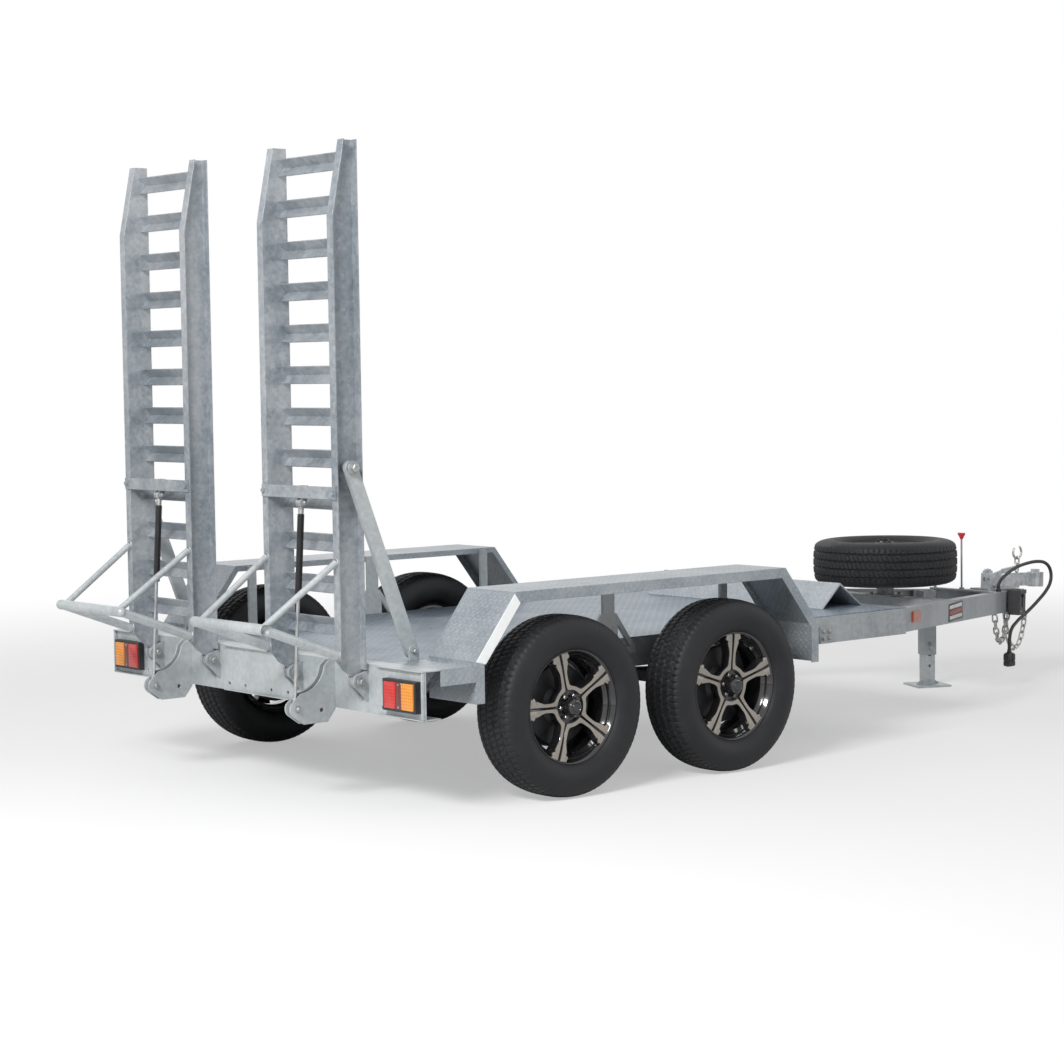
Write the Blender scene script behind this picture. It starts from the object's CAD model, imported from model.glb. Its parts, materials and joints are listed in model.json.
import json
import math
import bmesh
import bpy
import numpy as np
from mathutils import Matrix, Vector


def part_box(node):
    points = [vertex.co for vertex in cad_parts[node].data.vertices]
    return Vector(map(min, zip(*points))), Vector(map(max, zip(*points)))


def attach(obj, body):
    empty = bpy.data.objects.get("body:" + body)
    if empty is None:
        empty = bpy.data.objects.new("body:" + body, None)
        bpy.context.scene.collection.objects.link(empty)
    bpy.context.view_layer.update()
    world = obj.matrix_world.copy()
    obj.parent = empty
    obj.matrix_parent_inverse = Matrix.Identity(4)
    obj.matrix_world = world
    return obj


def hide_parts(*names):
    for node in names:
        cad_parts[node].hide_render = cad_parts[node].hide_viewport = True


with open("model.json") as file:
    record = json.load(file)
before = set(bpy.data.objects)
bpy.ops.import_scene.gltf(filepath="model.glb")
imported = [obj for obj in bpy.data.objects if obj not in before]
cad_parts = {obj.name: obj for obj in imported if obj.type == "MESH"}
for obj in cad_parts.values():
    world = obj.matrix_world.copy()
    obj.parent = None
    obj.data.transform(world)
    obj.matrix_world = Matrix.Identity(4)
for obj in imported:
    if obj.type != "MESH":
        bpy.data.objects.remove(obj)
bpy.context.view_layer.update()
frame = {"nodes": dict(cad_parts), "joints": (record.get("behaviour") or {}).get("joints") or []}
nodes = frame["nodes"]
jointPlace = {j["name"]: np.array(j["pos_m"]) for j in frame["joints"] if "pos_m" in j}
wheelNames = ["rear_near", "rear_far", "front_near", "front_far"]
wheelPlace = {n: jointPlace["wheel_" + n + "_spin"] for n in wheelNames}
axleMid = (wheelPlace["rear_near"][0] + wheelPlace["front_near"][0]) / 2
print("frame:", len(nodes), "nodes, middle of the axles at x", round(float(axleMid), 4))


def fromAxles(x, y, z):
    return np.array([x + axleMid, y, z])  # metres, x measured from the middle of the axles


def corners(node):
    low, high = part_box(node)
    return np.array(low), np.array(high)


# Camera, standing where the photo was taken from; the turns are in degrees
cameraValues = {
    "place": (-6.7758, -8.4157, 1.6944),
    "yaw": 50.0345, "pitch": -3.657, "roll": -0.8362,
    "lens": 82.86,
    "shift": (0.0018, -0.0032),
}


def addObject(name, data):
    made = bpy.data.objects.new(name, data)
    bpy.context.scene.collection.objects.link(made)
    return made


def makeCamera(v):
    data = bpy.data.cameras.new("trailerCamera")
    data.lens, data.sensor_width = v["lens"], 36.0
    data.shift_x, data.shift_y = v["shift"]
    data.clip_end = 200.0
    camera = addObject("trailerCamera", data)
    yaw, pitch, roll = (math.radians(v[key]) for key in ("yaw", "pitch", "roll"))
    forward = np.array([math.cos(yaw) * math.cos(pitch), math.sin(yaw) * math.cos(pitch), math.sin(pitch)])
    level = np.array([math.sin(yaw), -math.cos(yaw), 0])
    right = level * math.cos(roll) + np.cross(level, forward) * math.sin(roll)
    turned = np.eye(4)
    turned[:3, 0], turned[:3, 1], turned[:3, 2] = right, np.cross(right, forward), -forward
    turned[:3, 3] = fromAxles(*v["place"])
    camera.matrix_world = Matrix(turned.tolist())
    bpy.context.scene.camera = camera


makeCamera(cameraValues)
print("camera placed")


# Node helpers: put() makes one node, sets its properties, and links or sets its inputs
def put(tree, kind, inputs=None, **props):
    made = tree.nodes.new(kind)
    for key, value in props.items():
        setattr(made, key, value)
    for key, value in (inputs or {}).items():
        if isinstance(value, bpy.types.NodeSocket):
            tree.links.new(value, made.inputs[key])
        else:
            made.inputs[key].default_value = value
    return made


def calc(tree, operation, a, b=0.0, c=0.0, clamp=False):
    return put(tree, "ShaderNodeMath", {0: a, 1: b, 2: c}, operation=operation, use_clamp=clamp).outputs[0]


def blendColour(tree, share, a, b):
    return put(tree, "ShaderNodeMix", {0: share, 6: a, 7: b}, data_type="RGBA").outputs[2]


def spread(tree, value, low, high, outLow=0.0, outHigh=1.0):
    keys = {0: value, 1: low, 2: high, 3: outLow, 4: outHigh}
    return put(tree, "ShaderNodeMapRange", keys, interpolation_type="SMOOTHSTEP").outputs[0]


def noise(tree, place, scale, detail=3.0, rough=0.55):
    keys = {"Vector": place, "Scale": scale, "Detail": detail, "Roughness": rough}
    return put(tree, "ShaderNodeTexNoise", keys).outputs[0]


def startMaterial(name, **values):
    material = bpy.data.materials.new(name)
    material.use_nodes = True
    tree = material.node_tree
    shader = tree.nodes["Principled BSDF"]
    for key, value in values.items():
        shader.inputs[key.replace("_", " ")].default_value = value
    return material, tree, shader, put(tree, "ShaderNodeTexCoord").outputs["Object"]


def setColour(tree, shader, colour, rough):
    tree.links.new(colour, shader.inputs["Base Color"])
    tree.links.new(rough, shader.inputs["Roughness"])


def setBump(tree, shader, height, distance, strength=1.0, edge=0.0):
    keys = {"Height": height, "Distance": distance, "Strength": strength}
    if edge:  # worn, rounded edges
        keys["Normal"] = put(tree, "ShaderNodeBevel", {"Radius": edge}, samples=4).outputs[0]
    tree.links.new(put(tree, "ShaderNodeBump", keys).outputs[0], shader.inputs["Normal"])


def crystalTone(tree, where, scale):
    crystal = put(tree, "ShaderNodeTexVoronoi", {"Vector": where, "Scale": scale})
    return put(tree, "ShaderNodeSeparateColor", {0: crystal.outputs["Color"]}).outputs[0]


# Hot dip zinc: crystal spangle, cloudy patches and runs, bluish where it is dull
def galvanised(name, light=(0.43, 0.45, 0.465), dull=(0.265, 0.29, 0.31), metal=0.32):
    material, tree, shader, where = startMaterial(name, Metallic=metal)
    grain = crystalTone(tree, where, 70.0)
    stretched = put(tree, "ShaderNodeMapping", {0: where, 3: (1.0, 1.0, 0.35)}).outputs[0]
    cloud = noise(tree, stretched, 4.5, 5.0, 0.6)
    fleck = noise(tree, where, 38.0, 3.0, 0.6)
    tone = calc(tree, "MULTIPLY_ADD", spread(tree, cloud, 0.33, 0.66), 0.55, calc(tree, "MULTIPLY", grain, 0.3))
    tone = calc(tree, "MULTIPLY_ADD", spread(tree, fleck, 0.35, 0.7), 0.25, tone, clamp=True)
    rough = calc(tree, "MULTIPLY_ADD", grain, 0.14, calc(tree, "MULTIPLY_ADD", cloud, 0.22, 0.24))
    setColour(tree, shader, blendColour(tree, tone, (*dull, 1), (*light, 1)), rough)
    height = calc(tree, "MULTIPLY_ADD", noise(tree, where, 160.0, 2.0), 0.35, cloud)
    setBump(tree, shader, height, 0.0009, 0.55, edge=0.0022)
    return material


# Raised lozenges at 45 degrees, every other cell turned, on whichever plane the face lies in
def chequerHeight(tree, where, pitch):
    axes = put(tree, "ShaderNodeSeparateXYZ", {0: where}).outputs
    normal = put(tree, "ShaderNodeTexCoord").outputs["Normal"]
    facing = put(tree, "ShaderNodeSeparateXYZ", {0: normal}).outputs
    sideways = calc(tree, "GREATER_THAN", calc(tree, "ABSOLUTE", facing[1]), 0.7)
    along = calc(tree, "SUBTRACT", calc(tree, "MULTIPLY", axes[0], facing[2]),
                 calc(tree, "MULTIPLY", axes[2], facing[0]))
    u = put(tree, "ShaderNodeMix", {0: sideways, 2: along, 3: axes[0]}).outputs[0]
    v = put(tree, "ShaderNodeMix", {0: sideways, 2: axes[1], 3: axes[2]}).outputs[0]
    a = calc(tree, "DIVIDE", calc(tree, "ADD", u, v), pitch * math.sqrt(2))
    b = calc(tree, "DIVIDE", calc(tree, "SUBTRACT", u, v), pitch * math.sqrt(2))
    cell = calc(tree, "ADD", calc(tree, "FLOOR", a), calc(tree, "FLOOR", b))
    turned = calc(tree, "FLOORED_MODULO", cell, 2.0)
    fa = calc(tree, "SUBTRACT", calc(tree, "FLOORED_MODULO", a, 1.0), 0.5)
    fb = calc(tree, "SUBTRACT", calc(tree, "FLOORED_MODULO", b, 1.0), 0.5)
    longWay = put(tree, "ShaderNodeMix", {0: turned, 2: fa, 3: fb}).outputs[0]
    shortWay = put(tree, "ShaderNodeMix", {0: turned, 2: fb, 3: fa}).outputs[0]
    # an ellipse in each cell, by the lozenge's half length and half width
    shares = [calc(tree, "DIVIDE", calc(tree, "ABSOLUTE", way), half)
              for way, half in ((longWay, 0.46), (shortWay, 0.15))]
    reach = calc(tree, "ADD", *(calc(tree, "POWER", share, 2.0) for share in shares))
    return spread(tree, reach, 1.15, 0.35)


def chequerPlate(name, pitch=0.022, light=(0.46, 0.49, 0.515), dull=(0.25, 0.285, 0.315), metal=0.4):
    material, tree, shader, where = startMaterial(name, Metallic=metal)
    raised = chequerHeight(tree, where, pitch)
    cloud = noise(tree, where, 3.2, 5.0, 0.62)
    grain = crystalTone(tree, where, 85.0)
    tone = calc(tree, "MULTIPLY_ADD", spread(tree, cloud, 0.34, 0.66), 0.5, calc(tree, "MULTIPLY", grain, 0.25))
    tone = calc(tree, "MULTIPLY_ADD", raised, 0.22, tone, clamp=True)
    rough = calc(tree, "MULTIPLY_ADD", raised, -0.1, calc(tree, "MULTIPLY_ADD", cloud, 0.2, 0.3))
    setColour(tree, shader, blendColour(tree, tone, (*dull, 1), (*light, 1)), rough)
    height = calc(tree, "MULTIPLY_ADD", noise(tree, where, 140.0, 2.0), 0.08, raised)
    setBump(tree, shader, height, 0.0016, 0.8, edge=0.0025)
    return material


# One colour broken up by soft mottling, with a fine bump
def mottled(name, colour, rough, metal=0.0, vary=0.15, scale=9.0, bump=0.0004, grain=260.0, **more):
    material, tree, shader, where = startMaterial(name, Metallic=metal, **more)
    cloud = spread(tree, noise(tree, where, scale, 4.0, 0.6), 0.3, 0.7)
    dark = tuple(c * (1 - vary) for c in colour)
    pale = tuple(min(1.0, c * (1 + vary) + 0.01 * vary) for c in colour)
    uneven = calc(tree, "MULTIPLY_ADD", cloud, rough * 0.35, rough * 0.8)
    setColour(tree, shader, blendColour(tree, cloud, (*dark, 1), (*pale, 1)), uneven)
    setBump(tree, shader, noise(tree, where, grain, 3.0, 0.6), bump, 0.6)
    return material


# Tyre rubber: near black, a little dusty where the noise is high
def tyreRubber(name):
    material, tree, shader, where = startMaterial(name, Specular_IOR_Level=0.35)
    dust = spread(tree, noise(tree, where, 7.0, 6.0, 0.65), 0.45, 0.75)
    fine = noise(tree, where, 420.0, 2.0)
    black, dusty = (0.0105, 0.0110, 0.0130, 1), (0.032, 0.033, 0.037, 1)
    colour = blendColour(tree, calc(tree, "MULTIPLY", dust, 0.5), black, dusty)
    setColour(tree, shader, colour, calc(tree, "MULTIPLY_ADD", dust, 0.2, 0.56))
    setBump(tree, shader, fine, 0.0004, 0.5)
    return material


# Machined spoke face: warm silver with fine turning marks
def machinedFace(name):
    material, tree, shader, where = startMaterial(name, Metallic=0.75)
    streak = put(tree, "ShaderNodeMapping", {0: where, 3: (60.0, 4.0, 60.0)}).outputs[0]
    marks = noise(tree, streak, 6.0, 3.0)
    colour = blendColour(tree, marks, (0.27, 0.245, 0.215, 1), (0.44, 0.405, 0.36, 1))
    setColour(tree, shader, colour, calc(tree, "MULTIPLY_ADD", marks, 0.18, 0.2))
    setBump(tree, shader, marks, 0.0002, 0.4)
    return material


# Lens plastic: clear coloured moulding with a grid of small prisms under the skin
def lensPlastic(name, colour, pitch=0.006, glow=0.12):
    material, tree, shader, where = startMaterial(name, Roughness=0.16, Coat_Weight=0.6, Coat_Roughness=0.06)
    axes = put(tree, "ShaderNodeSeparateXYZ", {0: where}).outputs
    ribs = calc(tree, "PINGPONG", calc(tree, "DIVIDE", axes[1], pitch), 1.0)
    rows = calc(tree, "PINGPONG", calc(tree, "DIVIDE", axes[2], pitch), 1.0)
    prism = calc(tree, "MULTIPLY", ribs, rows)
    deep = tuple(c * 0.55 for c in colour)
    tint = blendColour(tree, prism, (*deep, 1), (*colour, 1))
    tree.links.new(tint, shader.inputs["Base Color"])
    tree.links.new(tint, shader.inputs["Emission Color"])
    shader.inputs["Emission Strength"].default_value = glow
    setBump(tree, shader, prism, 0.0012, 0.6)
    return material


zinc = galvanised("galvanisedZinc")
rampZinc = galvanised("galvanisedRamp", (0.45, 0.47, 0.49), (0.20, 0.235, 0.265), 0.45)
paleZinc = galvanised("galvanisedPale", (0.52, 0.545, 0.555), (0.34, 0.375, 0.385), 0.28)
whiteZinc = galvanised("galvanisedWhite", (0.97, 0.98, 0.98), (0.86, 0.89, 0.90), 0.05)
chequer = chequerPlate("chequerZinc")
deckChequer = chequerPlate("chequerDeck", 0.030, (0.31, 0.355, 0.40), (0.10, 0.14, 0.185), 0.65)
rubber = tyreRubber("tyreRubber")
glossBlack = mottled("rimGlossBlack", (0.012, 0.012, 0.013), 0.14, vary=0.2, bump=0.0001, Coat_Weight=0.6)
machined = machinedFace("rimMachinedFace")
blackSteel = mottled("axleBlackSteel", (0.022, 0.023, 0.026), 0.5, 0.2, 0.35, 14.0)
blackPlastic = mottled("mouldedBlack", (0.020, 0.020, 0.022), 0.48, 0.0, 0.25, 20.0, 0.0005)
cableSheath = mottled("cableSheath", (0.016, 0.016, 0.018), 0.5, 0.0, 0.3, 30.0, 0.0004)
strutBlack = mottled("strutBlack", (0.014, 0.014, 0.016), 0.22, 0.1, 0.2, 12.0, 0.0001)
nutDark = mottled("nutDark", (0.16, 0.16, 0.17), 0.28, 0.85, 0.2, 60.0, 0.0002)
brightRod = mottled("groundRod", (0.66, 0.67, 0.68), 0.16, 0.95, 0.06, 40.0, 0.0001)
brightZinc = mottled("platedZinc", (0.50, 0.50, 0.48), 0.36, 0.85, 0.2, 55.0, 0.0003)
boltZinc = mottled("boltZinc", (0.33, 0.34, 0.34), 0.5, 0.6, 0.2, 55.0, 0.0003)
castZinc = mottled("castZinc", (0.50, 0.52, 0.54), 0.42, 0.7, 0.18, 26.0, 0.0009, 90.0)
redLens = lensPlastic("lensRed", (0.70, 0.022, 0.016))
darkLens = lensPlastic("lensDarkRed", (0.20, 0.018, 0.012), 0.004, 0.02)
amberLens = lensPlastic("lensAmber", (0.98, 0.34, 0.015))
sideLens = lensPlastic("lensSide", (0.62, 0.105, 0.035), 0.005, 0.05)
redGrip = mottled("gripRed", (0.62, 0.035, 0.045), 0.35, 0.0, 0.12, 30.0, 0.0003)
labelInk = mottled("labelInk", (0.045, 0.040, 0.040), 0.4)
labelRed = mottled("labelRed", (0.42, 0.055, 0.05), 0.35)
labelPale = mottled("labelPale", (0.74, 0.70, 0.70), 0.35)

cadFinish = {
    zinc: ["rail_near", "rail_far", "cross_bearers", "hinge_lugs", "spare_carrier", "leg_sleeve",
           "drawbar_head"],
    paleZinc: ["rear_crossmember", "strut_plates", "stay_lugs", "guard_posts", "stay_near", "stay_far",
               "prop_near", "prop_far", "leg_foot"],
    rampZinc: ["ramp_near", "ramp_far", "rungs_near", "rungs_far"],
    chequer: ["step_plates", "mudguard_near", "mudguard_far", "bucket_rest"],
    deckChequer: ["deck_sheet"],
    blackPlastic: ["lamp_housings", "battery_box", "lead_gland"],
    blackSteel: ["axle_rear", "axle_front", "springs_near", "springs_far"],
    sideLens: ["side_reflectors"],
    castZinc: ["coupling", "brake_lever"],
    brightZinc: ["safety_chains", "chain_hook", "brake_handle"],
    strutBlack: ["strut_tube_near", "strut_tube_far"],
    brightRod: ["strut_rod_near", "strut_rod_far"],
}
for finish, names in cadFinish.items():
    for nodeName in names:
        nodes[nodeName].data.materials.clear()
        nodes[nodeName].data.materials.append(finish)
print("materials:", len(bpy.data.materials))


# Shape helpers. A shape is (points, list of face arrays, paint index); whole arrays throughout.
def gridFaces(rows, columns, closeRows=False, closeColumns=False):
    i, j = np.meshgrid(np.arange(rows if closeRows else rows - 1),
                       np.arange(columns if closeColumns else columns - 1), indexing="ij")
    nextI, nextJ = (i + 1) % rows, (j + 1) % columns
    quads = [i * columns + j, nextI * columns + j, nextI * columns + nextJ, i * columns + nextJ]
    return np.stack(quads, -1).reshape(-1, 4)


# Skin over a stack of rings, rings[row, corner, xyz], with a flat cap at each end
def loft(rings, paint=0, closeRows=False):
    rows, columns = rings.shape[:2]
    faces = [gridFaces(rows, columns, closeRows, True)]
    if not closeRows:
        faces += [np.arange(columns)[None, ::-1], (np.arange(columns) + (rows - 1) * columns)[None, :]]
    return rings.reshape(-1, 3), faces, paint


def around(sides):
    return np.arange(sides) / sides * 2 * math.pi


def hexagon(radius):
    return np.stack([np.cos(around(6)), np.sin(around(6))], 1) * radius


def turn(axis, up=(0, 0, 1)):
    axis = np.array(axis, float) / np.linalg.norm(axis)
    side = np.cross(up, axis)
    if np.linalg.norm(side) < 1e-6:
        side = np.cross((1, 0, 0), axis)
    side /= np.linalg.norm(side)
    return np.stack([side, np.cross(axis, side), axis])  # rows: side, up, axis


# Profile (radius, height) carried round an axis: point = centre + r cos a side + r sin a up + h axis
def lathe(profile, centre, axis, sides=32, paint=0, closed=False):
    profile = np.array(profile, float)
    a = around(sides)
    flat = np.stack([profile[:, :1] * np.cos(a), profile[:, :1] * np.sin(a),
                     np.repeat(profile[:, 1:], sides, 1)], -1)
    return loft(np.array(centre) + flat @ turn(axis), paint, closed)


# Closed outline (u, v) raised through levels (height, inset): rings shrink along the outline's own normals
def prism(outline, levels, centre, axis, up=(0, 0, 1), paint=0):
    outline = np.array(outline, float)
    before, after = np.roll(outline, 1, 0), np.roll(outline, -1, 0)
    edgeA, edgeB = outline - before, after - outline
    normal = np.stack([edgeA[:, 1], -edgeA[:, 0]], 1) / np.linalg.norm(edgeA, axis=1)[:, None]
    normal += np.stack([edgeB[:, 1], -edgeB[:, 0]], 1) / np.linalg.norm(edgeB, axis=1)[:, None]
    normal /= (normal ** 2).sum(1)[:, None] / 2 + 1e-9
    area = np.sum(outline[:, 0] * after[:, 1] - outline[:, 1] * after[:, 0])
    rings = [np.column_stack([outline - normal * inset * np.sign(area), np.full(len(outline), height)])
             for height, inset in levels]
    return loft(np.array(centre) + np.array(rings) @ turn(axis, up), paint)


def roundedBox(width, height, radius, steps=4):
    a = np.linspace(0, math.pi / 2, steps)
    corner = np.stack([np.cos(a), np.sin(a)], 1) * radius
    turns = [(1, 1, 0), (-1, 1, 1), (-1, -1, 2), (1, -1, 3)]
    spin = [np.array([[math.cos(k * math.pi / 2), math.sin(k * math.pi / 2)],
                      [-math.sin(k * math.pi / 2), math.cos(k * math.pi / 2)]]) for k in range(4)]
    return np.concatenate([corner @ spin[k] + np.array([sx * (width / 2 - radius), sy * (height / 2 - radius)])
                           for sx, sy, k in turns])


def block(centre, size, bevel=0.002, axis=(0, 0, 1), up=(0, 1, 0), paint=0):
    # size is (side, up, axis); the edges are rounded by the bevel
    half = size[2] / 2
    levels = [(-half, bevel), (-half + bevel * 0.3, bevel * 0.3), (-half + bevel, 0),
              (half - bevel, 0), (half - bevel * 0.3, bevel * 0.3), (half, bevel)]
    return prism(roundedBox(size[0], size[1], max(bevel * 1.5, 1e-4)), levels, centre, axis, up, paint)


# Round section carried along a path; the section's frame comes from the tangent and a fixed reference
def tube(path, radius, sides=12, reference=(0.13, 0.97, 0.21), paint=0, closed=False):
    path = np.array(path, float)
    if closed:
        tangent = np.roll(path, -1, 0) - np.roll(path, 1, 0)
    else:
        tangent = np.gradient(path, axis=0)
    tangent /= np.linalg.norm(tangent, axis=1)[:, None]
    side = np.cross(tangent, reference)
    side /= np.linalg.norm(side, axis=1)[:, None]
    up = np.cross(tangent, side)
    a = around(sides)
    radius = np.broadcast_to(np.array(radius, float), len(path))[:, None, None]
    rings = path[:, None] + radius * (np.cos(a)[:, None] * side[:, None] + np.sin(a)[:, None] * up[:, None])
    return loft(rings, paint, closed)


def bolt(centre, axis, across=0.019, paint=0, washer=True):
    # washer, then a hexagon head with its corners turned off
    shapes = []
    r = across / math.sqrt(3)
    base = 0.0
    if washer:
        ring = [(r * 1.32, 0), (r * 1.32, 0.0018), (r * 1.2, 0.0025), (r * 0.5, 0.0025)]
        shapes.append(lathe(ring, centre, axis, 18, paint))
        base = 0.0022
    tall = across * 0.62
    levels = [(base, 0), (base + tall * 0.82, 0), (base + tall, r * 0.14)]
    shapes.append(prism(hexagon(r), levels, centre, axis, paint=paint))
    end = [(r * 0.7, base + tall - 0.0005), (r * 0.66, base + tall + 0.0008)]
    shapes.append(lathe(end, centre, axis, 12, paint))
    return shapes


# Weld bead: a tube whose radius ripples along its path
def weld(start, end, radius=0.0035, paint=0):
    start, end = np.array(start, float), np.array(end, float)
    length = np.linalg.norm(end - start)
    steps = max(6, int(length / (radius * 0.55)))
    t = np.linspace(0, 1, steps)
    ripple = radius * (1 + 0.16 * np.abs(np.sin(np.arange(steps) * 1.15)))
    ripple[[0, -1]] *= 0.5
    return tube(start + t[:, None] * (end - start), ripple, 6, (0.31, 0.52, 0.79), paint)


def piece(name, shapes, body, materials, smooth=32.0, replaces=(), tidy=True):
    mesh = bpy.data.meshes.new(name)
    points = np.concatenate([s[0] for s in shapes])
    starts = np.cumsum([0] + [len(s[0]) for s in shapes])[:-1]
    parts = [(f + start, s[2]) for s, start in zip(shapes, starts) for f in s[1]]
    loops = np.concatenate([f.ravel() for f, paint in parts])
    counts = np.concatenate([np.full(len(f), f.shape[1]) for f, paint in parts])
    paints = np.concatenate([np.broadcast_to(paint, len(f)) for f, paint in parts])
    mesh.vertices.add(len(points))
    mesh.vertices.foreach_set("co", points.astype(np.float32).ravel())
    mesh.loops.add(len(loops))
    mesh.loops.foreach_set("vertex_index", loops.astype(np.int32))
    mesh.polygons.add(len(counts))
    mesh.polygons.foreach_set("loop_start", (np.cumsum(counts) - counts).astype(np.int32))
    mesh.polygons.foreach_set("material_index", paints.astype(np.int32))
    mesh.update(calc_edges=True)
    mesh.validate()
    if tidy:
        work = bmesh.new()
        work.from_mesh(mesh)
        bmesh.ops.remove_doubles(work, verts=work.verts, dist=1e-6)
        bmesh.ops.recalc_face_normals(work, faces=work.faces)
        work.to_mesh(mesh)
        work.free()
    mesh.shade_smooth()
    mesh.set_sharp_from_angle(angle=math.radians(smooth))
    for material in materials:
        mesh.materials.append(material)
    made = addObject(name, mesh)
    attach(made, body)
    if replaces:
        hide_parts(*replaces)
    return made


# Trailer lead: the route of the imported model, in metres from the middle of the axles
leadValues = {
    "diameter": 0.018,
    "route": [(3.400, -0.121, 0.514), (3.402, -0.121, 0.540), (3.424, -0.120, 0.564), (3.470, -0.112, 0.584),
              (3.530, -0.098, 0.602), (3.600, -0.086, 0.618), (3.680, -0.080, 0.630), (3.760, -0.080, 0.636),
              (3.828, -0.084, 0.628), (3.868, -0.088, 0.598), (3.878, -0.092, 0.554), (3.860, -0.097, 0.510),
              (3.818, -0.102, 0.472), (3.768, -0.104, 0.438), (3.704, -0.106, 0.400), (3.640, -0.108, 0.366),
              (3.576, -0.118, 0.342), (3.512, -0.146, 0.328), (3.456, -0.172, 0.316), (3.420, -0.186, 0.294),
              (3.406, -0.190, 0.264), (3.402, -0.190, 0.234), (3.402, -0.190, 0.204)],
}


# Smooth curve through the route: between b and c it is the cubic through a, b, c, d
def smoothRoute(points, steps=5):
    p = np.array(points)
    a, b, c, d = p[np.r_[0, 0:len(p) - 2]], p[:-1], p[1:], p[np.r_[2:len(p), len(p) - 1]]
    t = (np.arange(steps) / steps)[None, :, None]
    a, b, c, d = (q[:, None] for q in (a, b, c, d))
    square, cube = 2 * a - 5 * b + 4 * c - d, 3 * b - 3 * c + d - a
    curve = 0.5 * (2 * b + (c - a) * t + square * t ** 2 + cube * t ** 3)
    return np.vstack([curve.reshape(-1, 3), p[-1:]])


def makeLead(v):
    line = smoothRoute([fromAxles(*p) for p in v["route"]])
    data = bpy.data.curves.new("leadCord", "CURVE")
    data.dimensions = "3D"
    data.bevel_depth = v["diameter"] / 2
    data.bevel_resolution = 6
    data.use_fill_caps = True
    spline = data.splines.new("POLY")
    spline.points.add(len(line) - 1)
    spline.points.foreach_set("co", np.column_stack([line, np.ones(len(line))]).astype(np.float32).ravel())
    spline.use_smooth = True
    data.materials.append(cableSheath)
    lead = addObject("leadCord", data)
    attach(lead, "chassis")
    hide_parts("lead_cable")
    return lead, line


lead, leadLine = makeLead(leadValues)

plugValues = {"width": 0.058, "depth": 0.046, "pins": 7, "pinRadius": 0.0022, "pinGap": 0.007}


# Unit circle pushed out towards a square, as the x and the y of its corners
def squarish(sides, power):
    a = around(sides)
    return [np.sign(wave) * np.abs(wave) ** power for wave in (np.cos(a), np.sin(a))]


# Moulded plug: rounded sections stacked down from the cable, then seven pins in a shroud
def makePlug(v):
    top = leadLine[-1] - np.array([0, 0, 0.0005])
    down = np.array([0, 0, -1.0])
    # distance below the top, share of the width, share of the depth
    stack = [(0.0, 0.22, 0.30), (0.006, 0.30, 0.40), (0.012, 0.30, 0.40), (0.014, 0.36, 0.46),
             (0.020, 0.36, 0.46), (0.022, 0.60, 0.66), (0.028, 0.92, 0.92), (0.034, 1.0, 1.0),
             (0.060, 1.0, 1.0), (0.062, 0.94, 0.92), (0.066, 0.94, 0.92), (0.068, 1.0, 1.0),
             (0.088, 1.0, 1.0), (0.092, 0.90, 0.86)]
    x, y = squarish(32, 0.45)
    x, y = x * v["width"] / 2, y * v["depth"] / 2
    shapes = [loft(np.array([top + down * h + np.stack([x * w, y * d, 0 * x], 1) for h, w, d in stack]))]
    pin = [(v["pinRadius"], 0), (v["pinRadius"], 0.0045), (0.001, 0.0055)]
    for k in range(v["pins"]):
        spot = top + np.array([(k - (v["pins"] - 1) / 2) * v["pinGap"], 0, -0.0915])
        shapes.append(lathe(pin, spot, down, 10, 1))
    for m in (-1, 1):
        for k in range(4):
            spot = top + np.array([0, m * v["depth"] / 2, -0.038 - k * 0.0055])
            shapes.append(block(spot, (0.030, 0.0026, 0.003), 0.0008, (0, m, 0)))
    return piece("leadPlug", shapes, "chassis", [blackPlastic, brightZinc],
                 replaces=["lead_plug"])


plug = makePlug(plugValues)


# Tyre: a closed profile round the axle; the tread's depth is a function of angle and place across
tyreValues = {
    "radius": 0.365, "half": 0.1125, "tread": 0.0860, "grooves": (0.0197, 0.0590), "grooveHalf": 0.0036,
    "depth": 0.0075, "zigzag": 0.0018, "zigzags": 60, "sipes": 90, "shoulders": 80, "steps": 640,
    "crownDrop": 0.0088, "sipeDepth": 0.0034, "notchDepth": 0.0040, "edgeNotch": 0.0016,
}


def softStep(x):
    x = np.clip(x, 0, 1)
    return x * x * (3 - 2 * x)


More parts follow.
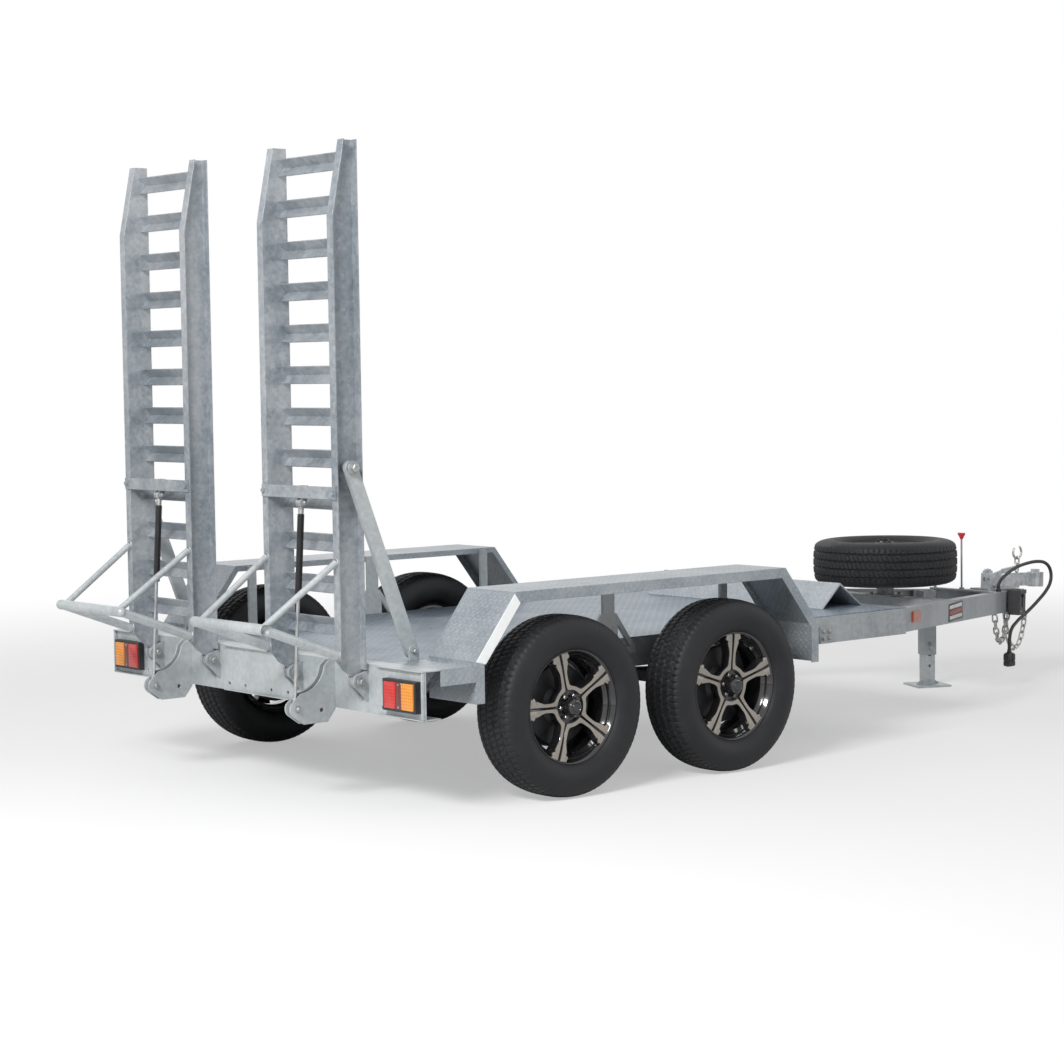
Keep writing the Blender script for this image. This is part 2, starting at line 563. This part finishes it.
def tyreShape(v, centre, axis, up):
    # wall outline as (across, radius), smooth through a few points; tread points are spaced evenly
    wall = np.array([(0.0700, 0.2162), (0.0768, 0.2262), (0.0830, 0.2306), (0.0905, 0.2352), (0.0952, 0.2408),
                     (0.1002, 0.2485), (0.1060, 0.2590), (0.1102, 0.2718), (0.1125, 0.2860), (0.1122, 0.2990),
                     (0.1104, 0.3120), (0.1076, 0.3240), (0.1038, 0.3345), (0.0988, 0.3435), (0.0928, 0.3510)])
    across = np.linspace(v["tread"], -v["tread"], 49)
    crown = v["radius"] - v["crownDrop"] * np.abs(across / v["tread"]) ** 3.0
    inner = np.array([(-0.0600, 0.2092), (-0.0880, 0.2560), (-0.0930, 0.3050), (-0.0640, 0.3450),
                      (0.0640, 0.3450), (0.0930, 0.3050), (0.0880, 0.2560), (0.0600, 0.2092)])
    profile = np.vstack([wall, np.column_stack([across, crown]), wall[::-1] * (-1, 1), inner])
    q, r = profile[:, 0][None, :], profile[:, 1][None, :]
    a = around(v["steps"])[:, None]
    wave = np.abs((a * v["zigzags"] / (2 * math.pi)) % 1 * 2 - 1) * 2 - 1
    cut = np.zeros((v["steps"], profile.shape[0]))
    onTread = (np.abs(q) < v["tread"] + 1e-6) & (r > 0.35)
    for g in v["grooves"]:
        off = np.abs(np.abs(q) - g - v["zigzag"] * wave)
        cut = np.maximum(cut, v["depth"] * softStep((v["grooveHalf"] * 1.5 - off) / (v["grooveHalf"] * 0.8)))
    sipe = np.abs((a * v["sipes"] / (2 * math.pi) + q / 0.022 * 0.35) % 1 - 0.5)
    cut = np.maximum(cut, v["sipeDepth"] * softStep((0.13 - sipe) / 0.06) * (np.abs(q) < 0.062))
    notch = np.abs((a * v["shoulders"] / (2 * math.pi) + 0.15 * np.sign(q)) % 1 - 0.5)
    cut = np.maximum(cut, v["notchDepth"] * softStep((0.15 - notch) / 0.08) * (np.abs(q) > 0.066))
    cut = cut * onTread
    shoulder = (np.abs(q) > v["tread"]) & (r > 0.325)
    radial = r - cut - v["edgeNotch"] * softStep((0.15 - notch) / 0.08) * shoulder
    ring = 0.0009 * (np.exp(-((r - 0.300) / 0.0016) ** 2) + np.exp(-((r - 0.262) / 0.0016) ** 2))
    wide = (q + np.sign(q) * ring * (np.abs(q) > 0.1)) * np.ones_like(radial)
    side, upward, outward = turn(axis, up)
    wide = np.clip(wide, -v["half"], v["half"])
    points = (np.array(centre) + (radial * np.cos(a))[..., None] * side
              + (radial * np.sin(a))[..., None] * upward + wide[..., None] * outward)
    return points.reshape(-1, 3), [gridFaces(*radial.shape, True, True)[:, ::-1]], 0


# Rim: barrel turned round the axle, five split spokes, hub pad with cap and nuts
rimValues = {
    "spokes": 5, "slot": 0.0036, "arm": 0.0185, "flare": 0.0275, "hub": 0.066, "bowl": 0.084, "end": 0.2240,
    "face": 0.0640, "rise": 0.0130, "nutRing": 0.0465, "nuts": 6, "nut": 0.0092, "cap": 0.1010,
}


# Edge of a strip round one window: a line beside each spoke and a circle round the hub, smoothly joined
def windowEdge(beside, hub, end, half, count, flare=0.0):
    reach = half - math.asin(beside / end)
    t = np.linspace(-1, 1, 801)
    angle = np.sign(t) * (1 - (1 - np.abs(t)) ** 1.6) * reach
    r = (hub ** 5 + (beside / np.sin(half - np.abs(angle))) ** 5) ** (1 / 5)
    r = np.minimum(r, end)
    x, y = r * np.cos(angle), r * np.sin(angle)
    if flare:
        step = softStep((r - 0.135) / 0.062) * 0.60 + softStep((r - 0.190) / 0.010) * 0.40
        step -= 0.22 * np.exp(-((r - 0.1925) / 0.0036) ** 2) + 0.20 * np.exp(-((r - 0.2110) / 0.003) ** 2)
        push = flare * step
        x += push * math.sin(half)
        y -= push * math.cos(half) * np.sign(angle)
    line = np.stack([x, y], 1)
    along = np.r_[0, np.cumsum(np.linalg.norm(np.diff(line, axis=0), axis=1))]
    even = np.linspace(0, along[-1], count)
    return np.stack([np.interp(even, along, line[:, 0]), np.interp(even, along, line[:, 1])], 1)


def rimShapes(v, centre, axis, up, start, drum=True):
    centre = np.array(centre, float)
    side, upward, outward = turn(axis, up)
    half = math.pi / v["spokes"]
    rise = lambda r: v["face"] + v["rise"] * softStep((r - 0.06) / 0.155)
    shapes = []
    barrel = [(0.1965, -0.0775), (0.2080, -0.0760), (0.2125, -0.0820), (0.2190, -0.0840), (0.2200, -0.0790),
              (0.2090, -0.0710), (0.2085, -0.0600), (0.1960, -0.0450), (0.1950, 0.0400), (0.2115, 0.0590),
              (0.2160, 0.0705), (0.2256, 0.0765), (0.2284, 0.0785), (0.2292, 0.0810), (0.2278, 0.0834),
              (0.2252, 0.0838), (0.2225, 0.0815), (0.2185, 0.0755), (0.2140, 0.0690), (0.2080, 0.0560),
              (0.2020, 0.0430), (0.1975, 0.0250), (0.1880, 0.0100), (0.1850, -0.0450), (0.1900, -0.0660)]
    shapes.append(lathe(barrel, centre, axis, 96, 0, True))
    slotEdge = windowEdge(v["slot"], v["hub"], v["end"], half, 84)
    bowlEdge = windowEdge(v["arm"], v["bowl"], v["end"], half, 84, v["flare"])
    share = np.array([0, 0, 0.09, 0.91, 1, 1])[:, None]
    below = np.array([-0.020, -0.0018, 0, 0, -0.0018, -0.020])
    for k in range(v["spokes"]):
        angle = start + (2 * k + 1) * half
        spin = np.array([[math.cos(angle), math.sin(angle)], [-math.sin(angle), math.cos(angle)]])
        flat = (slotEdge[:, None] * (1 - share) + bowlEdge[:, None] * share) @ spin
        lift = rise(np.linalg.norm(flat, axis=-1)) + below
        rings = centre + flat[..., :1] * side + flat[..., 1:] * upward + lift[..., None] * outward
        points, faces, paint = loft(rings)
        body, caps = faces[0].reshape(len(rings) - 1, 6, 4), faces[1:]
        shapes.append((points, [body[:, [2]].reshape(-1, 4)], 1))
        shapes.append((points, [body[:, [0, 1, 3, 4, 5]].reshape(-1, 4)] + caps, 0))
        # black spoke below the two strips
        x = np.linspace(0.046, 0.2205, 28)
        width = 0.0178 + 0.022 * softStep((x - 0.130) / 0.07)
        reach = np.array([-1, -1, -0.94, -0.2, 0, 0.2, 0.94, 1, 1])
        height = np.array([-0.046, -0.012, -0.0075, -0.0075, -0.0105, -0.0075, -0.0075, -0.012, -0.046])
        armAngle = start + 2 * k * half
        u, w = math.cos(armAngle), math.sin(armAngle)
        flatX = x[:, None] * u - (width[:, None] * reach) * w
        flatY = x[:, None] * w + (width[:, None] * reach) * u
        lift = rise(x)[:, None] + height
        spoke = centre + flatX[..., None] * side + flatY[..., None] * upward
        shapes.append(loft(spoke + lift[..., None] * outward))
    face, cap = v["face"], v["cap"]
    hubPad = [(0.001, 0.010), (0.070, 0.010), (0.0765, 0.030), (0.0765, face - 0.014), (0.0740, face - 0.008),
              (0.0620, face - 0.007), (0.0600, face - 0.015), (0.0360, face - 0.016), (0.0350, face - 0.004),
              (0.0345, face + 0.014), (0.0320, face + 0.030), (0.0295, cap - 0.004), (0.0275, cap - 0.0015),
              (0.0225, cap), (0.0215, cap - 0.0014), (0.0175, cap - 0.0014), (0.0165, cap),
              (0.0005, cap + 0.0006)]
    capRing = [(0.0183, cap - 0.0016), (0.0195, cap - 0.0004), (0.0207, cap - 0.0016)]
    shapes.append(lathe(hubPad, centre, axis, 64))
    shapes.append(lathe(capRing, centre, axis, 40, 3, True))
    a = start + (np.arange(v["nuts"]) + 0.5) / v["nuts"] * 2 * math.pi
    nutLevels = [(0, 0), (0.016, 0), (0.0185, 0.0018), (0.020, 0.004)]
    for c, s in zip(np.cos(a), np.sin(a)):
        spot = centre + v["nutRing"] * (c * side + s * upward) + (face - 0.0165) * outward
        shapes.append(prism(hexagon(v["nut"]), nutLevels, spot, axis, up, 2))
    if drum:
        drumLine = [(0.050, -0.070), (0.165, -0.070), (0.170, -0.066), (0.170, -0.058), (0.165, -0.054),
                    (0.165, -0.018), (0.158, -0.011), (0.085, -0.008), (0.060, 0.010), (0.050, 0.010)]
        shapes.append(lathe(drumLine, centre, axis, 64, 3))
    # valve stem at the rim's edge, between two spokes
    mid = start + half
    root = centre + 0.200 * (math.cos(mid) * side + math.sin(mid) * upward) + 0.048 * outward
    tip = root - 0.010 * (math.cos(mid) * side + math.sin(mid) * upward) + 0.030 * outward
    shapes.append(tube([root, (root + tip) / 2, tip], [0.0048, 0.0038, 0.0036], 10, paint=3))
    return shapes


wheelTurn = {"rear_near": 34.0, "front_near": 18.0, "rear_far": 50.0, "front_far": 64.0}  # degrees
spareTurn = 0.4  # radians
for name in wheelNames:
    outward = (0, -1, 0) if name.endswith("near") else (0, 1, 0)
    centre = wheelPlace[name]
    body = "wheel_" + name
    start = math.radians(wheelTurn[name])
    if name.endswith("far"):
        start = math.pi - start
    piece("tyre_" + name + "_tread", [tyreShape(tyreValues, centre, outward, (0, 0, 1))], body,
          [rubber], 40.0, ["tyre_" + name], tidy=False)
    rim = rimShapes(rimValues, centre, outward, (0, 0, 1), start)
    piece("rim_" + name + "_alloy", rim, body, [glossBlack, machined, nutDark, blackSteel],
          30.0, ["rim_" + name])
spareLow, spareHigh = corners("spare_tyre")
spareCentre = (spareLow + spareHigh) / 2
piece("spare_tyre_tread", [tyreShape(tyreValues, spareCentre, (0, 0, 1), (0, 1, 0))], "chassis",
      [rubber], 40.0, ["spare_tyre"], tidy=False)
spareRim = rimShapes(rimValues, spareCentre, (0, 0, 1), (0, 1, 0), spareTurn, False)
piece("spare_rim_alloy", spareRim, "chassis", [glossBlack, glossBlack, nutDark, blackSteel],
      30.0, ["spare_rim"])
print("wheels: five, tyres with", tyreValues["steps"], "steps round")


# Tail lamps: two ribbed lenses and a dark reflector strip in each housing
lampValues = {
    "inner": 0.9062, "outer": 1.0182, "lens": 0.0732, "height": 0.1034, "middle": 0.472, "rear": -1.223,
    "screwRise": 0.043,
}


def makeLamps(v):
    def lens(y, width, rise):
        levels = [(-0.009, 0), (rise * 0.5, 0), (rise * 0.85, 0.0012), (rise, 0.0042)]
        outline = roundedBox(width, v["height"], 0.007, 5)
        return prism(outline, levels, fromAxles(v["rear"], y, v["middle"]), (-1, 0, 0))
    both = (-1, 1)
    piece("lampLensRed", [lens(m * (v["inner"] + v["lens"] / 2), v["lens"], 0.0062) for m in both], "chassis",
          [redLens], 30.0, ["lamp_red"])
    piece("lampLensAmber", [lens(m * (v["outer"] + v["lens"] / 2), v["lens"], 0.0062) for m in both], "chassis",
          [amberLens], 30.0, ["lamp_amber"])
    gap = (v["inner"] + v["lens"] + v["outer"]) / 2
    piece("lampReflector", [lens(m * gap, v["outer"] - v["inner"] - v["lens"] - 0.002, 0.0040) for m in both],
          "chassis", [darkLens], 30.0)
    screws = [lathe([(0.0045, 0), (0.0045, 0.001), (0.0032, 0.0022), (0.0004, 0.0024)],
                    fromAxles(v["rear"] - 0.004, m * gap, v["middle"] + h), (-1, 0, 0), 14)
              for m in both for h in (-v["screwRise"], v["screwRise"])]
    piece("lampScrews", screws, "chassis", [boltZinc])


makeLamps(lampValues)

# The two drawbar beams run inward and a little down, from the bend in the rails to the apex
drawbarValues = {"bend": 1.870, "apex": 3.600, "out": 0.820, "apexOut": 0.060, "top": 0.570, "drop": 2.6}
taper = (drawbarValues["out"] - drawbarValues["apexOut"]) / (drawbarValues["apex"] - drawbarValues["bend"])
fall = math.tan(math.radians(drawbarValues["drop"]))


def beamOut(x):
    return drawbarValues["out"] - (x - drawbarValues["bend"]) * taper


def beamTop(x):
    return drawbarValues["top"] - (x - drawbarValues["bend"]) * fall


# Place at the near beam's outer face, from its top edge, with the beam's own directions
def onBeam(x, away=0.0, lift=0.0):
    forward = np.array([1, taper, -fall]) / math.sqrt(1 + taper ** 2 + fall ** 2)
    outward = np.array([taper, -1, 0]) / math.sqrt(1 + taper ** 2)
    root = fromAxles(x, -beamOut(x), beamTop(x))
    return root + outward * away + np.array([0, 0, lift]), forward, outward


labelValues = {"x": 2.610, "length": 0.235, "height": 0.088, "bars": 3}


def makeLabel(v):
    # plain bordered sticker on the near beam's web, with blank bars
    centre, forward, outward = onBeam(v["x"], lift=-0.056, away=0.0004)
    shapes = [block(centre, (v["length"], v["height"], 0.0008), 0.0003, outward, (0, 0, 1), 0)]
    for k in range(v["bars"]):
        spot = centre + outward * 0.0006 + np.array([0, 0, (1 - k) * 0.026])
        shapes.append(block(spot, (v["length"] * 0.88, 0.017, 0.0008), 0.0003, outward, (0, 0, 1), 1 + k % 2))
    piece("beamLabel", shapes, "chassis", [labelInk, labelPale, labelRed])


makeLabel(labelValues)


batteryValues = {"x": 3.470, "half": 0.056, "face": 0.0742, "ribs": 4, "ribStart": 0.018, "ribGap": 0.015}


def makeBatteryBox(v):
    # lid ribs, a strap down the face and under the box, its latch, and two cover screws
    root, forward, outward = onBeam(v["x"])
    up = np.array([0, 0, 1.0])

    def spot(along, away, lift):
        return root + forward * along + outward * away + up * lift
    half = v["half"]
    ribs = [spot(half, v["ribStart"] + v["ribGap"] * k, 0.0085) for k in range(v["ribs"])]
    shapes = [block(rib, (0.004, 0.100, 0.003), 0.001, up, forward) for rib in ribs]
    shapes += [block(spot(half, 0.0748, -0.045), (0.026, 0.080, 0.0035), 0.001, outward, up),
               block(spot(half, 0.0785, -0.022), (0.034, 0.018, 0.010), 0.002, outward, up),
               block(spot(half, 0.041, -0.1252), (0.026, 0.066, 0.0030), 0.001, -up, outward)]
    screw = [(0.004, 0), (0.004, 0.0015), (0.0005, 0.0024)]
    shapes += [lathe(screw, spot(along, v["face"], -0.105), outward, 12, 1) for along in (0.012, 0.100)]
    piece("batteryBoxTrim", shapes, "chassis", [blackPlastic, brightZinc])


makeBatteryBox(batteryValues)

handleValues = {
    "x": 3.245, "rod": 0.0052, "gripWide": 0.048, "gripDeep": 0.0095, "gripTop": 0.8155, "gripTall": 0.034,
}


def makeHandle(v):
    # flat bar on the two beams, upright rod and a wedge grip
    top, half = beamTop(v["x"]), beamOut(v["x"]) - 0.012
    middle = fromAxles(v["x"], 0, top + 0.005)
    collar = [(0.014, 0), (0.014, 0.008), (0.011, 0.011), (0.0052, 0.011)]
    shapes = [block(middle, (2 * half, 0.040, 0.010), 0.0015, (fall, 0, 1), (1, 0, 0)),
              tube([middle + (0, 0, h) for h in np.linspace(0, v["gripTop"] - top - 0.03, 8)], v["rod"], 12),
              lathe(collar, middle + (0, 0, 0.004), (0, 0, 1), 20)]
    for m in (-1, 1):
        shapes += bolt(middle + np.array([0, m * (half - 0.022), 0.005]), (0, 0, 1), 0.013)
    piece("brakeHandleBar", shapes, "chassis", [zinc], 32.0, ["brake_handle"])
    # height, share of the width, share of the depth
    levels = [(0, 0.26, 0.60), (0.004, 0.34, 0.72), (0.012, 0.50, 0.85), (0.024, 0.86, 1.0), (0.031, 1.0, 1.0),
              (0.0335, 0.98, 0.9), (0.034, 0.9, 0.75)]
    x, y = squarish(28, 0.6)
    base = fromAxles(v["x"], 0, v["gripTop"] - v["gripTall"])
    rings = np.array([base + np.stack([x * v["gripDeep"] * d, y * v["gripWide"] / 2 * w, 0 * x + h], 1)
                      for h, w, d in levels])
    piece("brakeHandleGrip", [loft(rings)], "chassis", [redGrip], 50.0)


makeHandle(handleValues)

# Bolts and pins that stay with the chassis
boltValues = {
    "hingeWeb": 0.2215, "hingeEnd": 0.0302, "strutFoot": (0.143, -0.115), "plateOut": 0.0206,
    "stayFoot": (-0.226, 0.104), "stayOuter": 0.2935, "stayInner": 0.2605,
    "fishX": (1.303, 1.342), "fishOut": 0.826, "fishZ": (0.474, 0.506),
}
rampSides = {"near": -1, "far": 1}


# Place on a ramp at rest, from its hinge: back, outward and up
def onRamp(name, back, across, up):
    return jointPlace[name + "_ramp_hinge"] + np.array([-back, rampSides[name] * across, up])


def chassisFasteners(v):
    washer = [(0.021, -0.003), (0.021, 0.0), (0.0195, 0.001), (0.013, 0.001)]
    pinEnd = [(0.0125, 0), (0.0125, 0.010), (0.0105, 0.012), (0.0005, 0.0125)]
    stayNut = [(0.0005, 0), (0.014, 0), (0.014, 0.002), (0.0115, 0.003), (0.0005, 0.003)]
    footBack, footUp = v["strutFoot"]
    stayBack, stayUp = v["stayFoot"]
    shapes = []
    for name, s in rampSides.items():
        for web in (-1, 1):
            for end in (-1, 1):
                spot = onRamp(name, 0, web * v["hingeWeb"] + end * v["hingeEnd"], 0)
                shapes += [lathe(washer, spot, (0, end * s, 0), 24), lathe(pinEnd, spot, (0, end * s, 0), 20)]
                pin = spot + np.array([0, end * s * 0.0065, 0])
                shapes.append(tube([pin + (0.004, 0, h) for h in (-0.019, 0, 0.019)], 0.0019, 8, (1, 0, 0)))
        for end in (-1, 1):
            shapes += bolt(onRamp(name, footBack, end * v["plateOut"], footUp), (0, end * s, 0), 0.019)
        foot = onRamp(name, stayBack, v["stayOuter"], stayUp)
        shapes += bolt(foot, (0, s, 0), 0.017)
        inner = onRamp(name, stayBack, v["stayInner"], stayUp)
        shapes.append(tube([inner, (inner + foot) / 2, foot], 0.0095, 16, (1, 0, 0.2)))
        shapes.append(lathe(stayNut, inner, (0, -s, 0), 20))
    for m in (-1, 1):
        for x in v["fishX"]:
            for z in v["fishZ"]:
                shapes += bolt(fromAxles(x, m * v["fishOut"], z), (0, m, 0), 0.017)
    piece("chassisFasteners", shapes, "chassis", [boltZinc])


chassisFasteners(boltValues)


guardValues = {"side": 1.1303, "rise": 0.0016,
               "slope": [(-0.752, 0.838), (-0.950, 0.588), (-0.902, 0.576), (-0.724, 0.800)]}


def guardStrips(v):
    # plain flat bar along the outer edge of each rear slope
    shapes = []
    for m in (-1, 1):
        outline = [(-m * x, z) for x, z in v["slope"]]
        levels = [(-0.0005, 0), (v["rise"] * 0.6, 0), (v["rise"], 0.0008)]
        shapes.append(prism(outline, levels, fromAxles(0, m * v["side"], 0), (0, m, 0)))
    piece("guardStrips", shapes, "chassis", [whiteZinc])


guardStrips(guardValues)

lipValues = {"face": -1.1972, "reach": 0.016, "thick": 0.005, "top": 0.5748, "bottom": 0.3842, "out": 1.1290,
             "outerStart": 0.842, "middle": 0.235, "edge": 0.0018}


# Folded lips of the rear crossmember, where neither a ramp nor a lug stands in their way
def crossmemberLips(v):
    shapes = []
    spans = [(-v["out"], -v["outerStart"]), (-v["middle"], v["middle"]), (v["outerStart"], v["out"])]
    for low, high in spans:
        for z in (v["top"] - v["thick"] / 2, v["bottom"] + v["thick"] / 2):
            centre = fromAxles(v["face"] - v["reach"] / 2, (low + high) / 2, z)
            shapes.append(block(centre, (v["reach"], high - low, v["thick"]), v["edge"]))
    tall = v["top"] - v["bottom"] - 2.2 * v["thick"]
    for m in (-1, 1):
        y, z = m * (v["out"] - v["thick"] / 2), (v["top"] + v["bottom"]) / 2
        centre = fromAxles(v["face"] - v["reach"] / 2, y, z)
        shapes.append(block(centre, (v["reach"], v["thick"], tall), v["edge"]))
    piece("crossmemberLips", shapes, "chassis", [paleZinc])


crossmemberLips(lipValues)


springValues = {"middle": 0.788, "half": 0.0405, "end": 0.046, "plate": 0.334, "foot": 0.322, "arch": 0.4345}


def springFasteners(v):
    # two U bolts, a plate and four nuts at each spring's seat on its axle
    shapes = []
    for place in wheelPlace.values():
        x, y, half = place[0], np.sign(place[1]) * v["middle"], v["half"]
        shapes.append(block((x, y, v["plate"]), (0.124, 0.104, 0.010), 0.002, (0, 0, 1), (0, 1, 0)))
        for end in (-v["end"], v["end"]):
            a = np.linspace(0, math.pi, 13)
            arch = np.stack([np.full(13, x + end), y + half * np.cos(a), v["arch"] + 0.010 * np.sin(a)], 1)
            legs = [[(x + end, y + half, v["foot"])], arch, [(x + end, y - half, v["foot"])]]
            shapes.append(tube(np.vstack(legs), 0.0058, 10, (1, 0, 0)))
            for out in (-half, half):
                shapes += bolt((x + end, y + out, v["plate"] - 0.005), (0, 0, -1), 0.016)
    piece("springFasteners", shapes, "chassis", [blackSteel])


springFasteners(springValues)

stayValues = {"back": 0.050, "height": 0.830, "outer": 0.2945}


def rampFittings(name, v):
    # stay bolt with its washers, strut bolts, and the weld beads of the prop and the cross bar
    s = rampSides[name]
    spot = onRamp(name, v["back"], v["outer"], v["height"])
    fittings = [lathe([(0.026, -0.004), (0.026, 0), (0.0245, 0.0012), (0.012, 0.0012)], spot, (0, s, 0), 28)]
    fittings += bolt(spot + np.array([0, s * 0.001, 0]), (0, s, 0), 0.030)
    for end in (-1, 1):
        ear = onRamp(name, 0.092, end * 0.0194, 0.690)
        fittings += bolt(ear, (0, end * s, 0), 0.015)
    piece("rampBolts_" + name, fittings, name + "_ramp", [boltZinc])
    beads = []
    a = np.linspace(0, 2 * math.pi, 28, endpoint=False)
    ripple = 0.0042 * (1 + 0.15 * np.sin(a * 9))
    for m in (-1, 1):
        for height, radius in ((0.108, 0.021), (0.468, 0.0145)):
            spot = onRamp(name, 0.1005, m * 0.236, height)
            ring = spot + np.stack([0 * a, radius * np.cos(a) * 0.9, radius * np.sin(a)], 1)
            beads.append(tube(ring, ripple, 6, (1, 0, 0.01), closed=True))
        for h in (0.711, 0.757):
            start = onRamp(name, 0.101, m * 0.222, h)
            end = onRamp(name, 0.101, m * 0.250, h)
            beads.append(weld(start, end, 0.003))
    piece("rampWelds_" + name, beads, name + "_ramp", [rampZinc])
    # bright eye and neck over the top of the strut
    top = jointPlace[name + "_strut_pivot"]
    footBack, footUp = boltValues["strutFoot"]
    down = (onRamp(name, footBack, 0, footUp) - top) * (1, 0, 1)
    eye = lathe([(0.0095, -0.0090), (0.0150, -0.0090), (0.0156, -0.0080), (0.0156, 0.0080), (0.0150, 0.0090),
                 (0.0095, 0.0090)], top, (0, 1, 0), 28, 0, True)
    neck = lathe([(0.0090, 0.0150), (0.0112, 0.0170), (0.0112, 0.0400), (0.0098, 0.0440), (0.0088, 0.0445)],
                 top, down, 22, 0)
    piece("strutHead_" + name, [eye, neck], name + "_strut_tube", [brightZinc])


for name in rampSides:
    rampFittings(name, stayValues)

spareValues = {"dish": 0.050, "seat": 0.0618, "top": 0.800, "rod": 0.009, "nuts": 3, "nutRing": 0.036}


def makeSpareClamp(v):
    # black dish on the hub, three nuts, and the threaded rod through it
    low, top, dish = spareCentre[2] + v["seat"], v["top"], v["dish"]
    base = np.array([spareCentre[0], 0, 0])
    dishLine = [(0.0005, low), (dish, low), (dish + 0.003, low + 0.004), (dish, top - 0.004),
                (dish - 0.004, top), (0.020, top), (0.018, top + 0.004), (0.0005, top + 0.004)]
    shapes = [lathe(dishLine, base, (0, 0, 1), 40)]
    shapes += bolt(base + (0, 0, top + 0.003), (0, 0, 1), 0.024)
    threads = [(v["rod"] * (1 - 0.07 * (k % 2)), top + 0.016 + 0.0012 * k) for k in range(12)]
    shapes.append(lathe(threads, base, (0, 0, 1), 18))
    for a in np.arange(v["nuts"]) * 2 * math.pi / v["nuts"] + 0.3:
        spot = base + np.array([v["nutRing"] * math.cos(a), v["nutRing"] * math.sin(a), top])
        shapes += bolt(spot, (0, 0, 1), 0.014)
    piece("spareClamp", shapes, "chassis", [blackSteel])


makeSpareClamp(spareValues)
print("lamps, fasteners, handle, label and clamp made")


# Floor and soft light; a light is its place, its size in metres and its power in watts
stageValues = {
    "floorColour": 0.93, "floorHalf": 60.0, "sky": 0.34, "fade": (3.2, 9.0), "fadeFrom": 0.42,
    "aim": (0, 0, 0.8),
    "keyLight": ((-8.0, -3.6, 5.6), 3.0, 700.0),
    "fillLight": ((6.5, -6.0, 4.0), 5.0, 60.0),
    "backLight": ((2.0, 8.0, 6.0), 5.0, 90.0),
}


def makeStage(v):
    side = v["floorHalf"]
    mesh = bpy.data.meshes.new("floor")
    edge = [(-side, -side, 0), (side, -side, 0), (side, side, 0), (-side, side, 0)]
    mesh.from_pydata(edge, [], [(0, 1, 2, 3)])
    floor = addObject("floor", mesh)
    material, tree, shader, where = startMaterial("floorPale", Roughness=0.9)
    shader.inputs["Specular IOR Level"].default_value = 0.1
    soft = noise(tree, where, 0.6, 2.0)
    level = v["floorColour"]
    tree.links.new(blendColour(tree, soft, (level, level, level, 1), (level + 0.01,) * 3 + (1,)),
                   shader.inputs["Base Color"])
    # far floor fades into the white backdrop for the camera
    distance = put(tree, "ShaderNodeVectorMath", {0: where}, operation="LENGTH").outputs[1]
    path = put(tree, "ShaderNodeLightPath")
    fade = spread(tree, distance, *v["fade"], v["fadeFrom"], 1.0)
    share = calc(tree, "MULTIPLY", fade, path.outputs["Is Camera Ray"])
    white = put(tree, "ShaderNodeEmission", {0: (1, 1, 1, 1), 1: 1.0})
    mixed = put(tree, "ShaderNodeMixShader", {0: share, 1: shader.outputs[0], 2: white.outputs[0]})
    tree.links.new(mixed.outputs[0], tree.nodes["Material Output"].inputs[0])
    mesh.materials.append(material)
    world = bpy.data.worlds.new("studio")
    world.use_nodes = True
    bpy.context.scene.world = world
    tree = world.node_tree
    path = put(tree, "ShaderNodeLightPath")
    seen = calc(tree, "ADD", path.outputs["Is Camera Ray"], calc(tree, "ADD", path.outputs["Is Glossy Ray"],
                path.outputs["Is Transmission Ray"]), clamp=True)
    strength = calc(tree, "MULTIPLY_ADD", seen, 1.0 - v["sky"], v["sky"])
    tree.links.new(strength, tree.nodes["Background"].inputs[1])
    tree.nodes["Background"].inputs[0].default_value = (1, 1, 1, 1)


def areaLight(name, place, target, size, power):
    data = bpy.data.lights.new(name, "AREA")
    data.shape, data.size, data.size_y, data.energy = "RECTANGLE", size, size * 0.6, power
    lamp = addObject(name, data)
    away = np.array(place, float) - np.array(target, float)
    basis = turn(away)
    placed = np.eye(4)
    placed[:3, :3], placed[:3, 3] = basis.T, place
    lamp.matrix_world = Matrix(placed.tolist())


makeStage(stageValues)
for name in ("keyLight", "fillLight", "backLight"):
    place, size, power = stageValues[name]
    areaLight(name, place, stageValues["aim"], size, power)
bpy.context.scene.view_settings.view_transform = "Standard"
print("stage and lights set")

bpy.context.view_layer.update()
